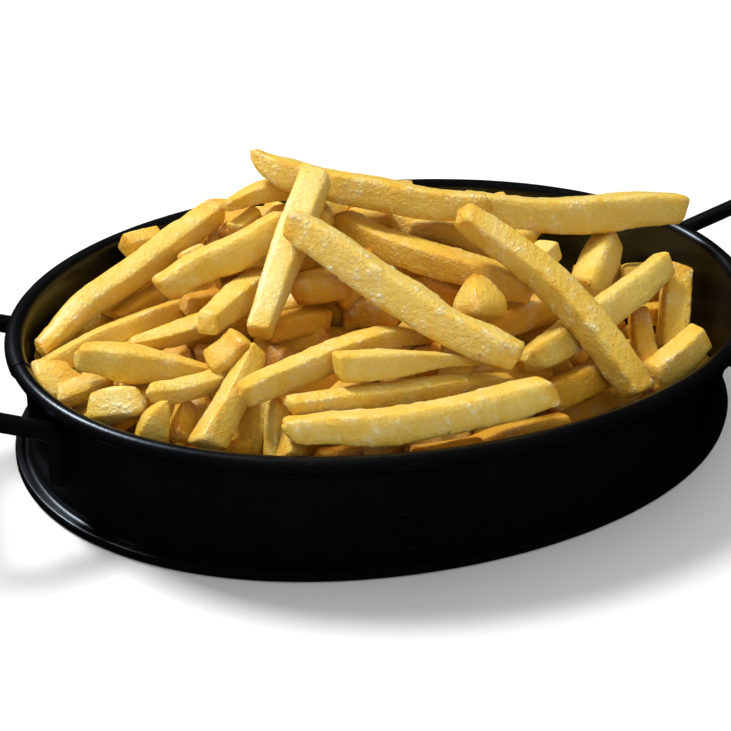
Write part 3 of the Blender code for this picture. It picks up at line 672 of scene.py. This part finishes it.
    (((-46, 28.5, 40, 9.7), (-42.5, 43.5, 41, 9.3), (-39, 58, 43, 8.9)), -10, 1.5),
    (((1.5, -41.5, 24.5, 8.5), (-17.5, -41.5, 21.5, 8.6), (-37.5, -43, 17.5, 7.8)), -21, 1.2),
    (((-24.5, 7, 39, 9.6), (-14, 0.5, 37.5, 9.6), (-4.5, -5, 34.5, 9.6)), 12, 1.0),
    (((-46, -3, 31, 9.4), (-35, -6, 34, 9.4), (-25.5, -8.5, 35.5, 9.4)), -20, 1.2),
    (((-22.5, -3, 44.5, 9.4), (-19, -1.5, 49, 9.4), (-16.5, 0.5, 52, 9.4)), 8, 1.1),
    (((-64, -22.5, 40.5, 9.2), (-58.5, -22.5, 45, 9.2), (-54, -21.5, 48, 9.2)), 5, 1.2),
    (((-104, 0, 32.5, 9.2), (-103.5, -4.5, 31.5, 9.2), (-99, -8, 28.5, 9.2)), 10, 0.9),
    (((-58.5, -39.5, 25, 9.4), (-55, -37, 31.5, 9.4), (-53, -33.5, 36, 9.4)), -8, 1.1),
    (((-99, 18.5, 24.5, 9), (-100.5, 16, 24, 9), (-98.5, 14.5, 22.5, 9)), 20, 1.2),
]


def curve_through(ctrl, step):
    """Smooth line through control rows, with even steps (all in mm)."""
    c = np.array(ctrl, float)
    if len(c) == 2:
        mid = 0.5 * (c[0] + c[1])
        c = np.array([c[0], mid, c[1]])
    d = np.r_[0.0, np.cumsum(np.linalg.norm(np.diff(c[:, :3], axis=0), axis=1))]
    m = np.zeros_like(c)                 # slopes at the control points
    for i in range(len(c)):
        a, b = max(i - 1, 0), min(i + 1, len(c) - 1)
        m[i] = (c[b] - c[a]) / (d[b] - d[a])
    n = max(int(round(d[-1] / step)), 6)
    close = np.array([0.0, 0.3, 0.75, 1.3])  # finer steps where the ends round off
    stops = np.r_[close, np.linspace(2.1, d[-1] - 2.1, n), (d[-1] - close)[::-1]]
    out = []
    for s in stops:
        i = min(np.searchsorted(d, s, side="right") - 1, len(c) - 2)
        h = d[i + 1] - d[i]
        u = (s - d[i]) / h
        out.append((2 * u ** 3 - 3 * u ** 2 + 1) * c[i] + (u ** 3 - 2 * u ** 2 + u) * h * m[i]
                   + (-2 * u ** 3 + 3 * u ** 2) * c[i + 1] + (u ** 3 - u ** 2) * h * m[i + 1])
    return np.array(out), stops


class FryHeap:
    def __init__(self):
        self.v, self.f, self.look, self.uv = [], [], [], []

    def add(self, ctrl, roll, tone, ends, blister, seed, step=1.35, per_side=6):
        rnd = np.random.RandomState(seed)
        line, arc = curve_through(ctrl, step)
        length = arc[-1]
        pos, wid = line[:, :3], line[:, 3]
        n = len(pos)
        tan = np.gradient(pos, axis=0)
        tan /= np.linalg.norm(tan, axis=1)[:, None]
        axis = (pos[-1] - pos[0]) / np.linalg.norm(pos[-1] - pos[0])
        up = np.array([0.0, 0.0, 1.0])
        ref = up - axis * up.dot(axis)
        ref /= np.linalg.norm(ref)
        side = np.cross(axis, ref)
        a = math.radians(roll)
        nrm = ref * math.cos(a) + side * math.sin(a)
        # the cut cross-section: a square with soft edges and dished faces
        if per_side == 6:
            knots = (-1.0, -0.80, -0.42, 0.0, 0.42, 0.80)
        else:
            knots = (-1.0, -0.62, 0.0, 0.62)
        sharp = 3.6 + 2.0 * rnd.rand(4)
        flat = 1.0 + 0.05 * rnd.randn(2)         # never quite square
        dish = 0.035 + 0.045 * rnd.rand(4)
        unit, sidx, sval = [], [], []
        for q in range(4):
            for s in knots:
                e = sharp[q] if s >= 0 else sharp[(q - 1) % 4]
                k = (1.0 + abs(s) ** e) ** (-1.0 / e)
                x, y = k, s * k
                c, sn = (1, 0, -1, 0)[q], (0, 1, 0, -1)[q]
                unit.append((x * c - y * sn, x * sn + y * c))
                sidx.append(q)
                sval.append(s)
        unit = np.array(unit)
        unit[:, 0] *= flat[0]
        unit[:, 1] *= flat[1]
        sval = np.array(sval)
        sidx = np.array(sidx)
        k = len(unit)
        ang = np.arctan2(unit[:, 1], unit[:, 0])
        radial = unit / np.linalg.norm(unit, axis=1)[:, None]
        # the shape of the two ends
        half = 0.5 * wid
        off = Vector((seed * 3.17 % 97, seed * 1.31 % 89, seed * 2.23 % 83))
        slant = [rnd.uniform(-0.30, 0.30, 2), rnd.uniform(-0.30, 0.30, 2)]
        bow = rnd.uniform(-1, 1, 4)
        first = len(self.v)
        plump = 1.10                     # soft corners: keeps the width true
        depth = {"b": 0.30, "r": 0.62, "p": 0.85}
        least_of = {"b": 0.74, "r": 0.50, "p": 0.40}
        for i in range(n):
            h = max(half[i], 0.8) * plump
            da, db = arc[i], length - arc[i]
            shrink = 1.0
            for dist, e, end in ((da, ends[0], 0), (db, ends[1], 1)):
                reach = depth[e] * max(half[0 if end == 0 else -1], 3.0)
                least = least_of[e]
                if e == "p":
                    reach = 2.0
                if dist < reach:
                    u = 1.0 - dist / reach
                    shrink = min(shrink, least + (1.0 - least) * max(1.0 - u * u, 0.0) ** 0.5)
            t = tan[i]
            nn = nrm - t * nrm.dot(t)
            nn /= np.linalg.norm(nn)
            ss = np.cross(t, nn)
            twist = math.radians(5.0) * noise.noise(off + Vector((arc[i] * 0.03, 0, 9)))
            ct, st = math.cos(twist), math.sin(twist)
            ends_near = max(0.0, 1.0 - min(da, db) / 7.0)
            for j in range(k):
                x, y = unit[j]
                face = 1.0 - sval[j] ** 2
                q = Vector((arc[i] * 0.085, x * 0.9, y * 0.9)) + off
                low = noise.noise(q)
                mid = noise.noise(Vector((arc[i] * 0.32, x * 2.0, y * 2.0)) + off * 1.7)
                fine = noise.noise(Vector((arc[i] * 0.95, x * h * 0.95, y * h * 0.95)) + off)
                pimple = noise.noise(Vector((arc[i] * 0.42, x * h * 0.42, y * h * 0.42)) - off)
                lump = max(0.0, pimple - 0.18) * (0.35 + blister)
                edge_chip = (1.0 - face) ** 3 * max(0.0, noise.noise(
                    Vector((arc[i] * 0.22, sidx[j] * 7.7, 3.0)) + off) - 0.12)
                r = 1.0 - dish[sidx[j]] * face * (0.6 + 0.8 * abs(bow[sidx[j]]))
                r += (0.055 * low + 0.028 * mid) - 0.16 * edge_chip
                add = 0.10 * fine + 0.62 * lump
                rx, ry = x * r * h * shrink, y * r * h * shrink
                rx += radial[j][0] * add
                ry += radial[j][1] * add
                rx, ry = rx * ct - ry * st, rx * st + ry * ct
                lean = 0.0
                if da < 6.0:
                    lean += (slant[0][0] * rx + slant[0][1] * ry) * (1 - da / 6.0)
                if db < 6.0:
                    lean += (slant[1][0] * rx + slant[1][1] * ry) * (1 - db / 6.0)
                p = pos[i] + nn * rx + ss * ry + t * lean
                self.v.append(p * MM)
                edge = max(0.0, (abs(sval[j]) - 0.55) / 0.45)
                self.look.append((tone, edge, ends_near,
                                  min(1.0, lump * 2.6 * blister)))
                self.uv.append((arc[i] * MM + seed * 0.37,
                                ang[j] / (2 * math.pi) * 4 * wid[i] * MM + seed * 0.13))
        for i in range(n - 1):
            for j in range(k):
                m = (j + 1) % k
                b = first + i * k
                self.f.append((b + j, b + m, b + k + m, b + k + j))
        # cut ends: two inner rings and a middle point, slightly domed
        for end, row, sign in ((0, 0, -1.0), (1, n - 1, 1.0)):
            base = [first + row * k + j for j in range(k)]
            centre = sum(np.array(self.v[b]) for b in base) / k
            t = tan[row] * sign
            prev = base
            bulge = {"b": 0.35, "r": 0.75, "p": 0.5}[ends[end]] * MM
            for frac, rise in ((0.72, 0.62), (0.38, 0.95)):
                cur = []
                for b in base:
                    p = centre + (np.array(self.v[b]) - centre) * frac
                    w = noise.noise(Vector(tuple(p * 260.0)) + off)
                    cur.append(len(self.v))
                    self.v.append(p + t * (bulge * rise + 0.00028 * w))
                    l = self.look[b]
                    self.look.append((l[0], 0.35, 1.0, l[3] * 0.5))
                    self.uv.append(self.uv[b])
                for j in range(k):
                    m = (j + 1) % k
                    self.f.append((prev[j], prev[m], cur[m], cur[j]) if sign > 0
                                  else (prev[m], prev[j], cur[j], cur[m]))
                prev = cur
            top = len(self.v)
            self.v.append(centre + t * bulge)
            self.look.append((tone, 0.0, 1.0, 0.0))
            self.uv.append(self.uv[base[0]])
            for j in range(k):
                m = (j + 1) % k
                self.f.append((prev[j], prev[m], top) if sign > 0 else (prev[m], prev[j], top))

    def build(self, name):
        v = np.array(self.v)
        # painted shade: lower fries are made a little darker, the further they sit under the top of the heap
        cell = 4.0 * MM
        ix = np.floor(v[:, 0] / cell).astype(int) + 60
        iy = np.floor(v[:, 1] / cell).astype(int) + 60
        top = np.zeros((130, 130))
        np.maximum.at(top, (ix, iy), v[:, 2])
        wide = top.copy()
        for dx in (-1, 0, 1):
            for dy in (-1, 0, 1):
                wide = np.maximum(wide, np.roll(np.roll(top, dx, 0), dy, 1))
        painted_shade_depth = np.clip((wide[ix, iy] - v[:, 2]) / (26 * MM), 0, 1)
        look = np.array(self.look)
        look[:, 0] = np.clip(0.06 + 0.28 * look[:, 0] + 0.15 * painted_shade_depth, 0, 1)
        ob = new_object(name, v, self.f)
        me = ob.data
        at = me.color_attributes.new("look", "FLOAT_COLOR", "POINT")
        at.data.foreach_set("color", look.astype(np.float32).ravel())
        uv = me.uv_layers.new(name="along")
        loops = np.zeros(len(me.loops), dtype=np.int32)
        me.loops.foreach_get("vertex_index", loops)
        uv.data.foreach_set("uv", np.array(self.uv, dtype=np.float32)[loops].ravel())
        me.materials.append(POTATO)
        return ob


heap = FryHeap()
for number, (ctrl, roll, tone, ends, blister) in enumerate(FRIES):
    heap.add(ctrl, roll, tone, ends, blister, number + 11)
for number, (ctrl, roll, tone) in enumerate(FILL):
    heap.add(ctrl, roll, tone, "bb", 0.25, number + 211, 2.3, 4)
fries = heap.build("fries")
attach(fries, "root")


def core_height(x, y):
    """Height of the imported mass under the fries, lumpy like fries end on."""
    dx, dy = (x / MM + 8.0) / 106.0, (y / MM - 4.0) / 66.0
    rho = min(1.0, math.hypot(dx, dy))
    h = 9.0 + 21.0 * (0.5 + 0.5 * math.cos(math.pi * rho))
    h += 3.2 * noise.noise(Vector((x * 95.0, y * 95.0, 1.0)))
    h += 1.4 * noise.noise(Vector((x * 260.0, y * 260.0, 5.0)))
    return h * MM


verts, faces, look = [], [], []
RINGS, SPOKES = 44, 120
for r in range(1, RINGS + 1):
    for s in range(SPOKES):
        t = 2.0 * math.pi * s / SPOKES
        p = oval(t, wall_in - 0.6 * MM) * (r / RINGS)
        verts.append(Vector((p.x, p.y, core_height(p.x, p.y))))
for s in range(SPOKES):                  # the hidden sides and underside
    t = 2.0 * math.pi * s / SPOKES
    p = oval(t, wall_in - 0.6 * MM)
    verts.append(Vector((p.x, p.y, SHEET + 0.4 * MM)))
verts.append(Vector((0.0, 0.0, core_height(0.0, 0.0))))
verts.append(Vector((0.0, 0.0, SHEET + 0.4 * MM)))
for r in range(RINGS):
    for s in range(SPOKES):
        n2 = (s + 1) % SPOKES
        a, b = r * SPOKES, (r + 1) * SPOKES
        faces.append((a + s, b + s, b + n2, a + n2))
for s in range(SPOKES):
    n2 = (s + 1) % SPOKES
    faces.append((s, n2, len(verts) - 2))
    faces.append((RINGS * SPOKES + n2, RINGS * SPOKES + s, len(verts) - 1))
core = new_object("fries_core", verts, faces)
face_outward(core)
# the core is given a darker orange-brown tone than the fries: painted shade for the deep gaps between them
at = core.data.color_attributes.new("look", "FLOAT_COLOR", "POINT")
at.data.foreach_set("color", np.tile(np.array([0.62, 0.0, 0.2, 0.0], np.float32), len(verts)))
uv = core.data.uv_layers.new(name="along")
for poly in core.data.polygons:
    for li in poly.loop_indices:
        co = core.data.vertices[core.data.loops[li].vertex_index].co
        uv.data[li].uv = (co.x, co.y)
core.data.materials.append(POTATO)
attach(core, "root")
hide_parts("fries_heap")
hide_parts("fries_heap")

# ========================================================= floor and lights
floor = new_object("studio_floor", [(-6, -6, 0), (6, -6, 0), (6, 6, 0), (-6, 6, 0)],
                   [(0, 1, 2, 3)], smooth=False)
floor.location.z = -0.0002
floor.data.materials.append(floor_material())
floor.visible_glossy = False


def area_light(name, place, aim, size, watts, colour, size_y=None):
    data = bpy.data.lights.new(name, "AREA")
    data.shape = "RECTANGLE"
    data.size = size
    data.size_y = size_y or size
    data.energy = watts
    data.color = colour
    ob = bpy.data.objects.new(name, data)
    scene.collection.objects.link(ob)
    ob.location = place
    ob.rotation_euler = (Vector(aim) - Vector(place)).to_track_quat("-Z", "Y").to_euler()
    return ob


area_light("key", (-0.50, 0.50, 1.00), (0.0, 0.0, 0.04), 0.26, 14.2, (1.0, 0.99, 0.97))
fill = area_light("fill", (-0.1, -1.2, 1.1), (0.0, 0.0, 0.03), 0.9, 2.6, (1.0, 0.98, 0.95))
fill.visible_glossy = False
floor_light = area_light("floor_wash", (0.0, 0.4, 2.6), (0.0, 0.2, 0.0), 3.0, 22.0, (1.0, 1.0, 1.0))
floor_light.visible_glossy = False

world = bpy.data.worlds.new("studio")
world.use_nodes = True
world.node_tree.nodes["Background"].inputs[0].default_value = (1.0, 0.99, 0.97, 1.0)
world.node_tree.nodes["Background"].inputs[1].default_value = 0.36
world.cycles_visibility.glossy = False
scene.world = world
scene.view_settings.view_transform = "Standard"

# ================================================================== camera
cam = bpy.data.cameras.new("camera")
cam.lens = 63.174
cam.sensor_width = 36.0
cam.clip_start = 0.01
camera = bpy.data.objects.new("camera", cam)
scene.collection.objects.link(camera)
el, az, roll = math.radians(35.41), math.radians(-23.70), math.radians(5.13)
back = Vector((math.sin(az) * math.cos(el), -math.cos(az) * math.cos(el), math.sin(el)))
right = (-back).cross(Vector((0, 0, 1))).normalized()
up = right.cross(-back)
rx = right * math.cos(roll) + up * math.sin(roll)
ux = up * math.cos(roll) - right * math.sin(roll)
m = Matrix.Identity(4)
for row in range(3):
    m[row][0], m[row][1], m[row][2] = rx[row], ux[row], back[row]
m.translation = Vector((-0.137994, -0.291996, 0.243581))
camera.matrix_world = m
scene.camera = camera
